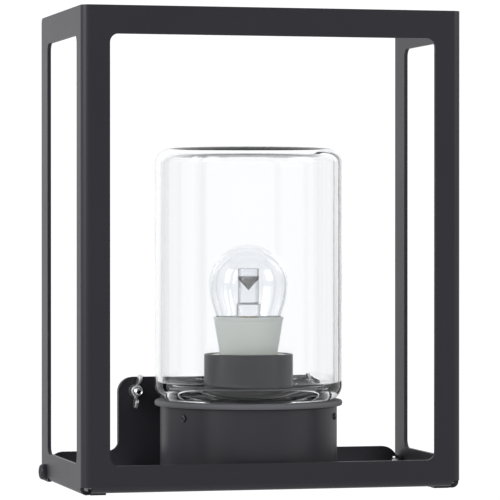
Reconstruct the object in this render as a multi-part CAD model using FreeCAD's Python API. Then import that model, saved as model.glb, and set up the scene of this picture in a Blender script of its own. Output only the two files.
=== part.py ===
import FreeCAD, Part
import math
import os

# Outdoor wall lantern: a folded sheet frame around a round base with an E27 lampholder and a glass jar.
# +Z is up and +Y points into the wall. The origin is on the wall plane, on the centre line, at the height
# of the two mounting studs. All sizes are in millimetres.

os.makedirs("parts", exist_ok=True)
V = FreeCAD.Vector
UP = V(0, 0, 1)
LEFT_RIGHT = (("left", -1), ("right", 1))

# Sheet metal
sheet = 2.2                    # steel sheet with its powder coat
bend_inner = 1.0               # inside radius of the folds of the back plate
slip = 0.1                     # gap between sheets that slide past each other
hole_play = 0.25               # radial play of a screw in a plain hole
thread_play = 0.05             # radial play that stands for a thread
fine_edge = 0.4                # radius of a broken edge
soft_edge = 1.0                # radius of a rounded edge
over = 1.0                     # how far a cutter runs past the face it cuts

# Frame: one sheet folded to a front and two sides, open at the top and the back
frame_width = 226.5
frame_depth = 127.0
frame_height = 280.0
frame_bend_inner = 3.0
front_stile = 16.3
rear_stile = 19.5
top_rail = 16.4
bottom_rail = 17.0
window_radius = 5.0
rear_corner_radius = 3.5
side_lip_width = 15.0
front_lip_width = 12.0
front_lip_rise = 1.3           # the front lip lies this much above the side lips
lip_bend_inner = 1.8
relief_height = 4.6
relief_past_bend = 0.6         # of the corner relief beyond the front folds
mitre_past_lip = 4.0           # how far the mitre between the lips runs past their edges
mitre_half_width = 2.0
lip_end_gap = 2.0              # from the rear end of a side lip to the tab behind it

# Stack from the wall forward: wall bracket, then back plate
stud_height = 53.5             # of the mounting studs above the foot of the frame
bracket_depth = 4.0
bracket_sheet = 1.5
bracket_bottom = 8.0           # above the foot of the frame
bracket_inset = 0.3            # of the bracket's edge behind the tall part of the back plate
bracket_foot_radius = 3.0
wall_slot_spacing = 70.0
wall_slot_length = 12.0
wall_slot_width = 5.2
wall_slot_drop = 17.5          # of the slots below the studs
bracket_cable_hole_r = 10.0

# Back plate: an inverted T with two side tabs and a shelf folded forward
tall_half_width = 66.8
tall_top = 62.0                # above the foot of the frame
tall_corner_radius = 9.0
wide_top = 17.0
wide_corner_radius = 10.0
fillet_radius = 6.5
plate_bottom = 0.8
tab_radius = 6.2
tab_screw_height = 5.5         # above the foot of the frame
tab_screw_from_wall = 12.0
tab_strip_top = 9.5
tab_relief = 1.0
tab_overlap = 2.0              # of the tab's strip past its fold into the flat plate
shelf_half_width = 60.0
shelf_bottom = 3.0             # above the foot of the frame
shelf_front_gap = 1.0          # behind the front lip
shelf_notch = 2.0              # relief beside the shelf's fold

# Mounting studs and wing nuts, M4
stud_spacing = 113.0
stud_r = 2.0
stud_reach = 18.0              # from the wall plane to the stud's end
stud_weld_r = 3.0
stud_weld_thickness = 0.7
stud_hole_play = 0.5           # radial play of a stud in the back plate
washer_play = 0.2              # radial play of a lock washer on its stud
lock_washer_r = 4.0
lock_washer_thickness = 0.8
wing_boss_r = 4.0
wing_boss_top_r = 3.5
wing_boss_height = 5.4
wing_span = 20.6
wing_height = 10.5
wing_thickness = 2.0
wing_root = 0.7                # of the wings' inner edge outside the bore
wing_root_low = 0.8            # of the wings' roots above the nut's foot
wing_toe = (5.2, 1.4, 1.5)     # lower corner of a wing: across, up, radius
wing_side_low = (5.0, 2.5)     # start of the wing's outer edge: up, radius
wing_top_width = 5.4
wing_top_radius = 2.5
wing_crotch = (4.8, 0.6, 1.5)  # inner corner of a wing: across, below the boss's top, radius
wing_tilt = 9.0               # degrees from upright, as tightened

# Frame screws and tab nuts, M5
m5_r = 2.5
m5_head_r = 4.75
m5_head_height = 3.7
m5_screw_length = 10.0
m5_nut_flats = 8.0
m5_nut_height = 4.0

# Small screws, M4
m4_r = 2.0
m4_head_r = 4.0
m4_head_height = 2.3
m4_nut_flats = 7.0
m4_nut_height = 3.2
drive_depth = 0.55             # of a cross recess, as a share of the head's height
drive_width = 0.9
head_round = 0.6               # radius of a screw head's edge, as a share of its height
point_round = 0.25             # radius of a screw's end, as a share of its own radius

# Round base pot
pot_axis_from_wall = 65.0
pot_r = 52.8
pot_wall = 2.0
pot_height = 42.1
pot_edge_r = 0.6
pot_foot_r = 3.0
weep_hole_r = 2.0
weep_hole_from_wall = 6.25      # of the drain hole's centre from the pot's inner wall
clamp_drop = 6.0               # of the set screws below the pot's top edge
clamp_angle = 60.0             # of each set screw from straight ahead
nub_r = 3.0

# Gasket and glass jar
gasket_thickness = 3.2
gasket_overhang = 3.3          # of the gasket beyond the pot
gasket_edge_r = 1.4
glass_inset = 0.1              # of the glass inside the gasket's edge
glass_height = 150.5           # above the gasket
glass_wall = 4.4
glass_top_thickness = 4.6
glass_top_r = 8.8
glass_shoulder_r = 8.5
glass_inner_top_r = 4.9
glass_floor = 7.0              # thickness of the shoulder at the wall
neck_gap = 4.25                # between the neck and the pot's inner wall
neck_wall = 4.2
neck_length = 14.5
neck_edge_r = 1.2
throat_height = 2.8            # of the neck's inner edge above the seat
throat_r = 3.0
throat_slope = 2.0             # rise of the inner shoulder from the throat to the wall
inner_shoulder_r = 4.5
glass_gap = 0.3                # between the glass and what it slides through

# Set screws that hold the glass, M4 with plastic tips
set_screw_r = 2.0
set_screw_proud = 1.1
set_tip_r = 1.5
set_tip_length = 1.0
set_slot_width = 0.8
set_slot_depth = 0.7

# Carrier and lampholder
standoff_height = 20.0
standoff_flats = 7.0
standoff_angles = (270.0, 30.0, 150.0)
shelf_screw_length = 10.0
carrier_screw_length = 7.0
carrier_gap = 3.75             # between the carrier and the pot's inner wall
carrier_thickness = 1.5
collar_r = 26.5
collar_wall = 2.0
collar_height = 49.3
collar_foot_r = 29.5
collar_foot_thickness = 1.0
holder_r = 23.4
holder_below_collar = 0.4      # top of the porcelain below the top of the tube
holder_mouth_r = 19.5
holder_mouth_depth = 9.0
holder_bore_r = 14.7
holder_floor = 11.3
holder_edge_r = 2.0
holder_screw_x = 15.0
holder_screw_length = 8.0
pilot_past = 0.5               # of a pilot hole's end past its screw
spring_height = 3.3            # of the centre contact's top above the lampholder's floor
spring_thickness = 0.5
spring_half_width = 3.0
spring_bends = (-8.5, -5.5, -2.5, 3.5)     # foot, ramp and tip of the strip, from the lampholder's axis
spring_fold = 0.3              # offset that keeps the strip's thickness through the ramp
shell_gap = 0.2                # between the threaded shell and the porcelain
shell_wall = 0.5
shell_ridge = 0.5
shell_pitch = 3.62
shell_turns = 5
shell_lift = 0.3               # of the threaded shell above the lampholder's floor
shell_lead = 0.8               # plain length below the shell's first ridge
shell_flanks = (0.25, 0.45, 0.7)   # start and end of a crest, foot of the ridge, as shares of the pitch
wire_hole_r = 1.5
wire_hole_x = 5.0
wire_hole_y = 2.0              # behind the lampholder's axis
wire_hole_play = 0.5           # of the carrier's wire holes around the porcelain's
wire_end_drop = 0.2            # of a wire's end below the lampholder's floor

# Supply terminal, earth and wires inside the pot
terminal_width = 31.0
terminal_depth = 15.0
terminal_height = 15.0
terminal_front = 16.0          # of its front face behind the pot's axis
terminal_pitch = 10.0
terminal_hole_r = 1.7
terminal_hole_height = 6.8
terminal_hole_depth = 4.0
terminal_screw_r = 1.6
terminal_screw_height = 2.0
terminal_screw_shares = (0.27, 0.73)   # of the block's depth
terminal_well_depth = 4.0
terminal_well_play = 0.3       # of a well around its screw
terminal_slot_width = 0.6
terminal_slot_depth = 0.7
wire_r = 1.1
wire_run = 6.5                 # of a lamp wire forward from the terminal's hole
wire_rise = 6.0                # of its corner under the lampholder above the terminal's hole
bend_share = 0.45              # of the shorter run beside a wire's bend that the bend takes up
earth_wire_run = 10.0
earth_wire_lead = 7.0          # of the straight end behind the tag's barrel
earth_stud_length = 11.0
earth_y = -24.0                # from the pot's axis
earth_tag_r = 4.2
earth_tag_thickness = 0.8
earth_barrel_length = 6.0
earth_barrel_wall = 0.6
earth_neck_half_width = 1.4

# Cable bush between the back plate and the pot
cable_height = 24.0            # above the foot of the frame
cable_bore_r = 4.0
bush_r = 6.5
bush_flange_r = 9.0
bush_flange_thickness = 2.0
bush_tail = 1.8                # behind the back plate
bush_spacer = 1.5              # of the spacer between plate and pot beyond the bush
bush_play = 0.1                # between the spacer and the pot's outer wall
bush_flange_gap = 0.2          # between the flange and the pot's inner wall

# Lamp, E27 cap
lamp_gap = 0.3                 # between the lamp's centre contact and the spring
cap_crest_r = 13.05
cap_root_r = 12.1
cap_length = 22.5
cap_wall = 0.6
cap_foot_height = 0.8          # of the slope at the cap's foot
cap_lead = 1.2                 # height below the cap's first ridge
cap_flanks = (0.3, 0.5, 0.8)   # start and end of a crest, foot of the ridge, as shares of the pitch
insulator_height = 2.5
insulator_tip_r = 6.0
insulator_plug = 1.0           # height of the insulator inside the cap
cap_foot_step = 0.7            # of the cap's foot inside its root
contact_r = 4.75
contact_height = 1.4
cone_bottom_r = 15.8
cone_top_r = 21.0
cone_height = 29.9
cone_wall = 1.6
cone_floor = 2.0
globe_r = 23.4
globe_neck_r = 19.2
globe_equator = 19.4           # above the cone's top; the crown above it is a half ball
globe_belly_share = 0.55       # height of the swelling side's middle, as a share of the equator's
globe_belly_inset = 0.9        # of the side's middle inside the equator
globe_wall = 1.0
globe_tuck = 1.2               # of the globe's neck inside the cone
globe_gap = 0.2                # between the globe and the cone
board_r = 17.5
board_thickness = 1.2
board_shelf = 2.0              # width of the shelf that carries the board
board_shelf_thickness = 1.5
board_shelf_foot = 4.5         # of the slope under the shelf, below the shelf's top
board_drop = 0.2               # of the board's top below the cone's top
led_size = 2.8
led_height = 0.7
led_circle_r = 4.2
guide_r = 6.3
guide_height = 28.8            # above the cone's top
guide_foot_r = 7.3
guide_foot_height = 7.4        # above the cone's top
guide_step = 1.0               # height of the slope from the foot to the column
guide_cup_r = 5.4
guide_cup_depth = 4.7
guide_dimple_depth = 8.4       # of the cone below the cup
driver_width = 15.0
driver_height = 24.0
driver_thickness = 1.6
driver_lift = 3.0              # of the driver above the cap's foot

# Places worked out from the sizes above
floor_z = -stud_height
half_width = frame_width / 2
front_y = -frame_depth
inner_half_width = half_width - sheet
plate_back_y = -bracket_depth
plate_front_y = plate_back_y - sheet
plate_bend_r = bend_inner + sheet
tab_outer_x = inner_half_width - slip
tab_inner_x = tab_outer_x - sheet
tab_screw_y = -tab_screw_from_wall
tab_screw_z = floor_z + tab_screw_height
tab_front_y = tab_screw_y - tab_radius
shelf_top_z = floor_z + shelf_bottom + sheet
shelf_front_y = front_y + front_lip_width + shelf_front_gap
pot_y = -pot_axis_from_wall
pot_floor_z = shelf_top_z + pot_wall
pot_top_z = shelf_top_z + pot_height
pot_inner_r = pot_r - pot_wall
weep_hole_from_axis = pot_inner_r - weep_hole_from_wall
gasket_r = pot_r + gasket_overhang
glass_r = gasket_r - glass_inset
neck_r = pot_inner_r - neck_gap
carrier_r = pot_inner_r - carrier_gap
standoff_circle_r = (collar_foot_r + carrier_r) / 2
clamp_z = pot_top_z - clamp_drop
glass_seat_z = pot_top_z + gasket_thickness
glass_top_z = glass_seat_z + glass_height
neck_bottom_z = glass_seat_z - neck_length
carrier_z = pot_floor_z + standoff_height
carrier_top_z = carrier_z + carrier_thickness
collar_top_z = carrier_top_z + collar_height
holder_top_z = collar_top_z - holder_below_collar
holder_floor_z = carrier_top_z + holder_floor
holder_shelf_z = holder_top_z - holder_mouth_depth
cable_z = floor_z + cable_height
wire_z = pot_floor_z + terminal_hole_height
spring_top_z = holder_floor_z + spring_height
contact_z = spring_top_z + lamp_gap
insulator_z = contact_z + contact_height
cap_z = insulator_z + insulator_height
cone_z = cap_z + cap_length
cone_top_z = cone_z + cone_height
board_z = cone_top_z - board_drop - board_thickness
wing_base_y = plate_front_y - lock_washer_thickness


def box(low, high):
    """A block between two opposite corners."""
    size = V(*high) - V(*low)
    return Part.makeBox(size.x, size.y, size.z, V(*low))


def cylinder(radius, start, end):
    """A round bar from one point to another."""
    axis = V(*end) - V(*start)
    return Part.makeCylinder(radius, axis.Length, V(*start), axis)


def outline(corners, place):
    """A closed face through corners (u, v, radius); each corner with a radius is a tangent arc."""
    stops = []
    count = len(corners)
    for i, (u, v, radius) in enumerate(corners):
        here = V(u, v, 0)
        before = (V(*corners[i - 1][:2], 0) - here).normalize()
        after = (V(*corners[(i + 1) % count][:2], 0) - here).normalize()
        if radius == 0:
            stops.append((here, here, here))
            continue
        half = before.getAngle(after) / 2
        reach = radius / math.tan(half)
        middle = (before + after).normalize() * (radius / math.sin(half) - radius)
        stops.append((here + before * reach, here + middle, here + after * reach))
    edges = []
    for i, (start, middle, end) in enumerate(stops):
        if start != end:
            edges.append(Part.Arc(place(start), place(middle), place(end)).toShape())
        following = stops[(i + 1) % count][0]
        if end.distanceToPoint(following) > 1e-6:
            edges.append(Part.LineSegment(place(end), place(following)).toShape())
    return Part.Face(Part.Wire(edges))


def prism(plane, corners, low, high):
    """The outline in plane XY, XZ or YZ, extruded between two heights along the plane's normal."""
    places = {
        "XY": (lambda p: V(p.x, p.y, low), V(0, 0, high - low)),
        "XZ": (lambda p: V(p.x, low, p.y), V(0, high - low, 0)),
        "YZ": (lambda p: V(low, p.x, p.y), V(high - low, 0, 0)),
    }
    place, travel = places[plane]
    return outline(corners, place).extrude(travel)


def rectangle(u0, v0, u1, v1, radius=0):
    """The corners of a rectangle with equal corner radii."""
    return [(u0, v0, radius), (u1, v0, radius), (u1, v1, radius), (u0, v1, radius)]


def turned(corners, x=0.0, y=0.0):
    """A body of revolution about the upright axis at (x, y); corners are (r, z, radius)."""
    face = outline(corners, lambda p: V(x + p.x, y, p.y))
    return face.revolve(V(x, y, 0), UP, 360)


def turned_along(corners, start, direction):
    """A body of revolution about any axis; corners are (r, distance from start, radius)."""
    shape = turned(corners)
    shape.Placement = FreeCAD.Placement(V(*start), FreeCAD.Rotation(UP, V(*direction)))
    return shape


def hexagon(flats, start, direction, length, turn=0.0):
    """A hexagonal bar from a point along a direction."""
    reach = flats / math.sqrt(3)
    points = [V(reach, 0, 0)]
    for step in range(1, 6):
        angle = math.radians(60 * step)
        points.append(V(reach * math.cos(angle), reach * math.sin(angle), 0))
    bar = Part.Face(Part.makePolygon(points + [points[0]])).extrude(UP * length)
    bar.rotate(V(0, 0, 0), UP, turn)
    bar.Placement = FreeCAD.Placement(V(*start), FreeCAD.Rotation(UP, V(*direction))).multiply(bar.Placement)
    return bar


def nut(flats, bore_r, start, direction, length, turn=0.0):
    """A hexagonal nut with a plain bore."""
    axis = V(*direction).normalize()
    end = V(*start) + axis * length
    return hexagon(flats, start, direction, length, turn).cut(cylinder(bore_r, start, end))


def pan_screw(radius, head_r, head_height, length, under_head, direction):
    """A pan head screw with a cross recess; its shank runs from under_head along direction."""
    corners = [
        (0, -head_height, 0),
        (head_r, -head_height, head_height * head_round),
        (head_r, 0, 0),
        (radius, 0, 0),
        (radius, length, radius * point_round),
        (0, length, 0),
    ]
    screw = turned(corners)
    for angle in (45, 135):
        blade = Part.makeBox(head_r * 1.1, drive_width, head_height * drive_depth)
        blade.translate(V(-head_r * 0.55, -drive_width / 2, -head_height))
        blade.rotate(V(0, 0, 0), UP, angle)
        screw = screw.cut(blade)
    screw.Placement = FreeCAD.Placement(V(*under_head), FreeCAD.Rotation(UP, V(*direction)))
    return screw


def around_pot(radius, angle, z):
    """A point at an angle about the pot's axis, counted from +X towards the wall."""
    turn = math.radians(angle)
    return V(radius * math.cos(turn), pot_y + radius * math.sin(turn), z)


def tube_path(points, radius):
    """A round wire through straight runs joined by tangent arcs as large as the runs allow."""
    points = [V(*p) for p in points]
    edges = []
    start = points[0]
    for before, corner, after in zip(points, points[1:], points[2:]):
        back = before - corner
        on = after - corner
        shorter = min(back.Length, on.Length)
        half_turn = (math.pi - back.getAngle(on)) / 2
        reach = bend_share * shorter
        arc_r = reach / math.tan(half_turn)
        back.normalize()
        on.normalize()
        entry = corner + back * reach
        leave = corner + on * reach
        middle = corner + (back + on).normalize() * (arc_r / math.cos(half_turn) - arc_r)
        edges.append(Part.LineSegment(start, entry).toShape())
        edges.append(Part.Arc(entry, middle, leave).toShape())
        start = leave
    edges.append(Part.LineSegment(start, points[-1]).toShape())
    path = Part.Wire(edges)
    first = points[1] - points[0]
    section = Part.Wire(Part.makeCircle(radius, points[0], first))
    return path.makePipeShell([section], True, False)


def lip(width, bend_r, low, high, side):
    """A strip folded inward from a wall's foot; side says which wall it belongs to."""
    outer = bend_r + sheet
    corners = [
        (0, 0, outer),
        (width, 0, 0),
        (width, sheet, 0),
        (sheet, sheet, bend_r),
        (sheet, outer, 0),
        (0, outer, 0),
    ]
    if side == "front":
        placed = [(front_y + u, floor_z + front_lip_rise + v, r) for u, v, r in corners]
        return prism("YZ", placed, low, high)
    placed = [(side * (half_width - u), floor_z + v, r) for u, v, r in corners]
    return prism("XZ", placed, low, high)


def frame():
    outer_r = frame_bend_inner + sheet
    inner_front = front_y + sheet
    wrap_corners = [
        (-half_width, 0, 0),
        (-half_width, front_y, outer_r),
        (half_width, front_y, outer_r),
        (half_width, 0, 0),
        (inner_half_width, 0, 0),
        (inner_half_width, inner_front, frame_bend_inner),
        (-inner_half_width, inner_front, frame_bend_inner),
        (-inner_half_width, 0, 0),
    ]
    top_z = floor_z + frame_height
    wrap = prism("XY", wrap_corners, floor_z, top_z)
    window_low = floor_z + bottom_rail
    window_high = top_z - top_rail
    window_x = half_width - front_stile
    front_window = rectangle(-window_x, window_low, window_x, window_high, window_radius)
    wrap = wrap.cut(prism("XZ", front_window, front_y - over, inner_front + over))
    side_window = rectangle(front_y + front_stile, window_low, -rear_stile, window_high, window_radius)
    wrap = wrap.cut(prism("YZ", side_window, -half_width - over, half_width + over))
    profile = [
        (front_y - over, floor_z, 0),
        (0, floor_z, rear_corner_radius),
        (0, top_z, rear_corner_radius),
        (front_y - over, top_z, 0),
    ]
    wrap = wrap.common(prism("YZ", profile, -half_width - over, half_width + over))
    lip_r = lip_bend_inner + sheet
    relief = outer_r + relief_past_bend
    lip_end_y = tab_front_y - lip_end_gap
    mitre_end = side_lip_width + mitre_past_lip
    foot_cut = box((-half_width + relief, front_y - over, floor_z - over),
                   (half_width - relief, inner_front + over, floor_z + front_lip_rise + lip_r))
    wrap = wrap.cut(foot_cut)
    front_lip = lip(front_lip_width, lip_bend_inner, -half_width + relief, half_width - relief, "front")
    wrap = wrap.fuse(front_lip)
    for _, side in LEFT_RIGHT:
        near, far = sorted((side * (half_width + over), side * (inner_half_width - over)))
        wrap = wrap.cut(box((near, front_y + relief, floor_z - over), (far, lip_end_y, floor_z + lip_r)))
        wrap = wrap.fuse(lip(side_lip_width, lip_bend_inner, front_y + relief, lip_end_y, side))
        near, far = sorted((side * (half_width + over), side * (half_width - relief)))
        corner_low = (near, front_y - over, floor_z - over)
        wrap = wrap.cut(box(corner_low, (far, front_y + relief, floor_z + relief_height)))
        mitre = [
            (side * (half_width - relief), front_y + relief, 0),
            (side * (half_width - relief), front_y + sheet, 0),
            (side * (half_width - sheet), front_y + relief, 0),
            (side * (half_width - mitre_end), front_y + mitre_end, 0),
            (side * (half_width - mitre_end - mitre_half_width), front_y + mitre_end - mitre_half_width, 0),
        ]
        wrap = wrap.cut(prism("XY", mitre, floor_z - over, floor_z + front_lip_rise + sheet + slip))
        hole_start = (side * (inner_half_width - over), tab_screw_y, tab_screw_z)
        hole_end = (side * (half_width + over), tab_screw_y, tab_screw_z)
        wrap = wrap.cut(cylinder(m5_r + hole_play, hole_start, hole_end))
    return wrap.removeSplitter()


def side_tab(side):
    """A tab folded forward from the end of the back plate, with a round end about the frame screw."""
    corners = [
        (side * (tab_inner_x - bend_inner - tab_overlap), plate_back_y, 0),
        (side * tab_outer_x, plate_back_y, plate_bend_r),
        (side * tab_outer_x, tab_screw_y, 0),
        (side * tab_inner_x, tab_screw_y, 0),
        (side * tab_inner_x, plate_front_y, bend_inner),
        (side * (tab_inner_x - bend_inner - tab_overlap), plate_front_y, 0),
    ]
    tab = prism("XY", corners, floor_z + plate_bottom, floor_z + tab_strip_top)
    inner = (side * tab_inner_x, tab_screw_y, tab_screw_z)
    outer = (side * tab_outer_x, tab_screw_y, tab_screw_z)
    tab = tab.fuse(cylinder(tab_radius, inner, outer))
    below = box((min(inner[0], outer[0]) - over, tab_front_y - over, floor_z - over),
                (max(inner[0], outer[0]) + over, plate_back_y + over, floor_z + plate_bottom))
    return tab.cut(below).cut(cylinder(m5_r + hole_play, inner, outer))


def back_plate():
    edge = tab_outer_x - slip
    bottom = floor_z + plate_bottom
    wide = floor_z + wide_top
    tall = floor_z + tall_top
    corners = [
        (-edge, bottom, 0),
        (edge, bottom, 0),
        (edge, wide, wide_corner_radius),
        (tall_half_width, wide, fillet_radius),
        (tall_half_width, tall, tall_corner_radius),
        (-tall_half_width, tall, tall_corner_radius),
        (-tall_half_width, wide, fillet_radius),
        (-edge, wide, wide_corner_radius),
    ]
    plate = prism("XZ", corners, plate_back_y, plate_front_y)
    bend_x = tab_outer_x - plate_bend_r
    for _, side in LEFT_RIGHT:
        near, far = sorted((side * bend_x, side * (tab_outer_x + over)))
        relief_top = floor_z + tab_strip_top + tab_relief
        relief_low = (near, plate_front_y - over, floor_z - over)
        plate = plate.cut(box(relief_low, (far, plate_back_y + over, relief_top)))
        plate = plate.fuse(side_tab(side))
    shelf_low = floor_z + shelf_bottom
    notch = shelf_half_width + shelf_notch
    plate = plate.cut(box((-notch, plate_front_y - over, floor_z - over),
                          (notch, plate_back_y + over, shelf_low + plate_bend_r)))
    shelf = [
        (plate_back_y, shelf_low + plate_bend_r, 0),
        (plate_back_y, shelf_low, plate_bend_r),
        (shelf_front_y, shelf_low, 0),
        (shelf_front_y, shelf_top_z, 0),
        (plate_front_y, shelf_top_z, bend_inner),
        (plate_front_y, shelf_low + plate_bend_r, 0),
    ]
    plate = plate.fuse(prism("YZ", shelf, -shelf_half_width, shelf_half_width))
    for _, side in LEFT_RIGHT:
        x = side * stud_spacing / 2
        hole_start = (x, plate_front_y - over, 0)
        plate = plate.cut(cylinder(stud_r + stud_hole_play, hole_start, (x, plate_back_y + over, 0)))
    bush_start = (0, plate_front_y - over, cable_z)
    plate = plate.cut(cylinder(bush_r, bush_start, (0, plate_back_y + over, cable_z)))
    for angle in standoff_angles:
        at = around_pot(standoff_circle_r, angle, shelf_low - over)
        plate = plate.cut(cylinder(m4_r + hole_play, at, at + UP * (sheet + 2 * over)))
    weep = around_pot(weep_hole_from_axis, 90.0, shelf_low - over)
    plate = plate.cut(cylinder(weep_hole_r, weep, weep + UP * (sheet + 2 * over)))
    return plate.removeSplitter()


def wall_bracket():
    half = tall_half_width - bracket_inset
    top = floor_z + tall_top - bracket_inset
    bottom = floor_z + bracket_bottom
    pan = prism("XZ", [
        (-half, bottom, bracket_foot_radius),
        (half, bottom, bracket_foot_radius),
        (half, top, tall_corner_radius),
        (-half, top, tall_corner_radius),
    ], 0, -bracket_depth)
    hollow = prism("XZ", [
        (-half + bracket_sheet, bottom - over, 0),
        (half - bracket_sheet, bottom - over, 0),
        (half - bracket_sheet, top - bracket_sheet, tall_corner_radius - bracket_sheet),
        (-half + bracket_sheet, top - bracket_sheet, tall_corner_radius - bracket_sheet),
    ], -bracket_sheet, -bracket_depth - over)
    pan = pan.cut(hollow)
    reach = wall_slot_length / 2
    slot_r = wall_slot_width / 2
    for _, side in LEFT_RIGHT:
        x = side * wall_slot_spacing / 2
        pan = pan.cut(slot_cutter(x, -wall_slot_drop, reach, slot_r))
    pan = pan.cut(cylinder(bracket_cable_hole_r, (0, over, cable_z), (0, -bracket_sheet - over, cable_z)))
    return pan.removeSplitter()


def slot_cutter(x, z, reach, radius):
    """A long hole through the bracket's plate, with its length along X."""
    straight = reach - radius
    cutter = box((x - straight, -bracket_sheet - over, z - radius), (x + straight, over, z + radius))
    for end in (x - straight, x + straight):
        cutter = cutter.fuse(cylinder(radius, (end, -bracket_sheet - over, z), (end, over, z)))
    return cutter.removeSplitter()


def mounting_studs():
    studs = []
    for _, side in LEFT_RIGHT:
        corners = [
            (0, 0, 0),
            (stud_weld_r, 0, 0),
            (stud_weld_r, stud_weld_thickness, 0),
            (stud_r, stud_weld_thickness, 0),
            (stud_r, stud_reach - bracket_sheet, fine_edge),
            (0, stud_reach - bracket_sheet, 0),
        ]
        studs.append(turned_along(corners, (side * stud_spacing / 2, -bracket_sheet, 0), (0, -1, 0)))
    return studs


def lock_washer(side):
    bore = stud_r + washer_play
    corners = rectangle(bore, 0, lock_washer_r, lock_washer_thickness)
    return turned_along(corners, (side * stud_spacing / 2, plate_front_y, 0), (0, -1, 0))


def wing_nut(side):
    """A wing nut: a conical boss with two rounded wings that lean outward."""
    bore = stud_r + thread_play
    nut_shape = turned([
        (bore, 0, 0),
        (wing_boss_r, 0, fine_edge),
        (wing_boss_top_r, wing_boss_height, fine_edge),
        (bore, wing_boss_height, 0),
    ])
    half_span = wing_span / 2
    crotch_x, crotch_drop, crotch_r = wing_crotch
    wing = [
        (bore + wing_root, wing_root_low, 0),
        wing_toe,
        (half_span, *wing_side_low),
        (half_span, wing_height, wing_top_radius),
        (half_span - wing_top_width, wing_height, wing_top_radius),
        (crotch_x, wing_boss_height - crotch_drop, crotch_r),
        (bore + wing_root, wing_boss_height - crotch_drop, 0),
    ]
    for mirror in (-1, 1):
        placed = [(mirror * u, v, r) for u, v, r in wing]
        nut_shape = nut_shape.fuse(prism("XZ", placed, -wing_thickness / 2, wing_thickness / 2))
    nut_shape = nut_shape.removeSplitter()
    nut_shape.rotate(V(0, 0, 0), UP, 90 + side * wing_tilt)
    start = V(side * stud_spacing / 2, wing_base_y, 0)
    standing = FreeCAD.Placement(start, FreeCAD.Rotation(UP, V(0, -1, 0)))
    nut_shape.Placement = standing.multiply(nut_shape.Placement)
    return nut_shape


def frame_screws():
    screws = []
    for _, side in LEFT_RIGHT:
        seat = (side * half_width, tab_screw_y, tab_screw_z)
        screws.append(pan_screw(m5_r, m5_head_r, m5_head_height, m5_screw_length, seat, (-side, 0, 0)))
    return screws


def tab_nuts():
    nuts = []
    for _, side in LEFT_RIGHT:
        start = (side * tab_inner_x, tab_screw_y, tab_screw_z)
        nuts.append(nut(m5_nut_flats, m5_r, start, (-side, 0, 0), m5_nut_height, 30.0))
    return nuts


def base_pot():
    pot = turned([
        (0, shelf_top_z, 0),
        (pot_r, shelf_top_z, pot_foot_r),
        (pot_r, pot_top_z, pot_edge_r),
        (pot_inner_r, pot_top_z, pot_edge_r),
        (pot_inner_r, pot_floor_z, pot_foot_r - pot_wall / 2),
        (0, pot_floor_z, 0),
    ], y=pot_y)
    nub_start = (0, pot_y + neck_r + glass_gap, clamp_z)
    nub_end = (0, pot_y + pot_r - pot_wall / 2, clamp_z)
    pot = pot.fuse(cylinder(nub_r, nub_start, nub_end))
    for _, side in LEFT_RIGHT:
        angle = 270 + side * clamp_angle
        start = around_pot(pot_inner_r - over, angle, clamp_z)
        end = around_pot(pot_r + over, angle, clamp_z)
        pot = pot.cut(cylinder(set_screw_r + thread_play, start, end))
    bush_start = (0, pot_y + pot_inner_r - bush_r, cable_z)
    pot = pot.cut(cylinder(bush_r, bush_start, (0, pot_y + pot_r + over, cable_z)))
    for angle in standoff_angles:
        at = around_pot(standoff_circle_r, angle, shelf_top_z - over)
        pot = pot.cut(cylinder(m4_r + hole_play, at, at + UP * (pot_wall + 2 * over)))
    weep = around_pot(weep_hole_from_axis, 90.0, shelf_top_z - over)
    pot = pot.cut(cylinder(weep_hole_r, weep, weep + UP * (pot_wall + 2 * over)))
    return pot.removeSplitter()


def standoffs():
    posts = []
    for angle in standoff_angles:
        foot = around_pot(standoff_circle_r, angle, pot_floor_z)
        post = hexagon(standoff_flats, foot, UP, standoff_height, angle)
        posts.append(post.cut(cylinder(m4_r, foot, foot + UP * standoff_height)))
    return posts


def shelf_screws():
    screws = []
    for angle in standoff_angles:
        seat = around_pot(standoff_circle_r, angle, floor_z + shelf_bottom)
        screws.append(pan_screw(m4_r, m4_head_r, m4_head_height, shelf_screw_length, seat, UP))
    return screws


def carrier_screws():
    screws = []
    for angle in standoff_angles:
        seat = around_pot(standoff_circle_r, angle, carrier_top_z)
        screws.append(pan_screw(m4_r, m4_head_r, m4_head_height, carrier_screw_length, seat, -UP))
    return screws


def carrier_plate():
    plate = cylinder(carrier_r, (0, pot_y, carrier_z), (0, pot_y, carrier_top_z))
    for angle in standoff_angles:
        at = around_pot(standoff_circle_r, angle, carrier_z - over)
        plate = plate.cut(cylinder(m4_r + hole_play, at, at + UP * (carrier_thickness + 2 * over)))
    for _, side in LEFT_RIGHT:
        wire_hole = (wire_hole_x, wire_hole_y, wire_hole_r + wire_hole_play)
        for x, y, radius in (wire_hole, (holder_screw_x, 0, m4_r + hole_play)):
            at = V(side * x, pot_y + y, carrier_z - over)
            plate = plate.cut(cylinder(radius, at, at + UP * (carrier_thickness + 2 * over)))
    return plate


def holder_collar():
    foot_top = carrier_top_z + collar_foot_thickness
    return turned([
        (collar_r - collar_wall, carrier_top_z, 0),
        (collar_foot_r, carrier_top_z, 0),
        (collar_foot_r, foot_top, fine_edge),
        (collar_r, foot_top, 0),
        (collar_r, collar_top_z, fine_edge),
        (collar_r - collar_wall, collar_top_z, fine_edge),
    ], y=pot_y)


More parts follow.
